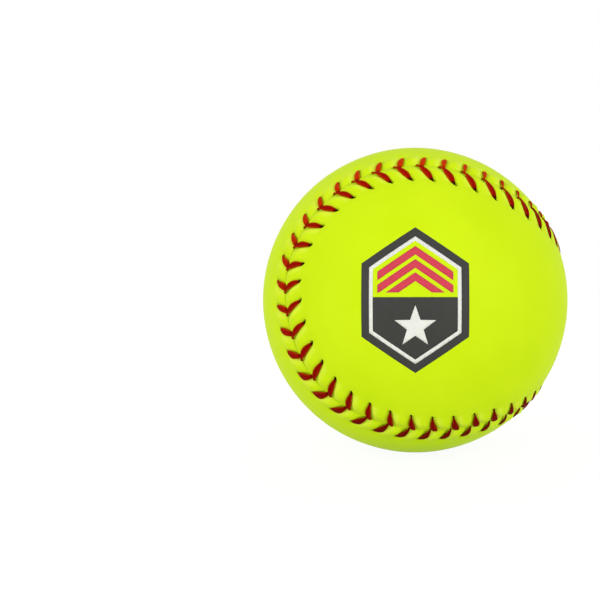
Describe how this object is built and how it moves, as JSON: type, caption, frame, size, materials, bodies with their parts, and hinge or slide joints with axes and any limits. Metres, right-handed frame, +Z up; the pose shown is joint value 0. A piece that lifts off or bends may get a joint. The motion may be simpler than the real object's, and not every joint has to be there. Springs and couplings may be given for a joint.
{
  "type": "softball",
  "caption": "Optic-yellow softball with two dumbbell-shaped cover panels, raised red V stitching along the curved seam, and a wound, rubber-coated core under them.",
  "frame": {"origin": "middle of the ball", "axes": "+Z up as pictured, the front print faces -Y, +X to the right of the front print"},
  "size_m": [0.0977, 0.0971, 0.097],
  "materials": {
    "core_mix": "matte cork and rubber",
    "winding_yarn": "tight yarn",
    "rubber_coat": "satin latex",
    "cement": "dried cement",
    "cover_leather": "smooth satin",
    "thread": "waxed",
    "ink_charcoal": "printed",
    "ink_white": "printed",
    "ink_crimson": "printed",
    "ink_black": "printed"
  },
  "bodies": {
    "root": {"core": "core_mix", "winding": "winding_yarn", "rubber_coat": "rubber_coat", "cement_a": "cement", "cement_b": "cement", "cover_panel_a": "cover_leather", "cover_panel_b": "cover_leather", "thread_one": "thread", "thread_two": "thread", "front_print_charcoal": "ink_charcoal", "front_print_white": "ink_white", "front_print_crimson": "ink_crimson", "back_print_black": "ink_black"}
  },
  "joints": []
}
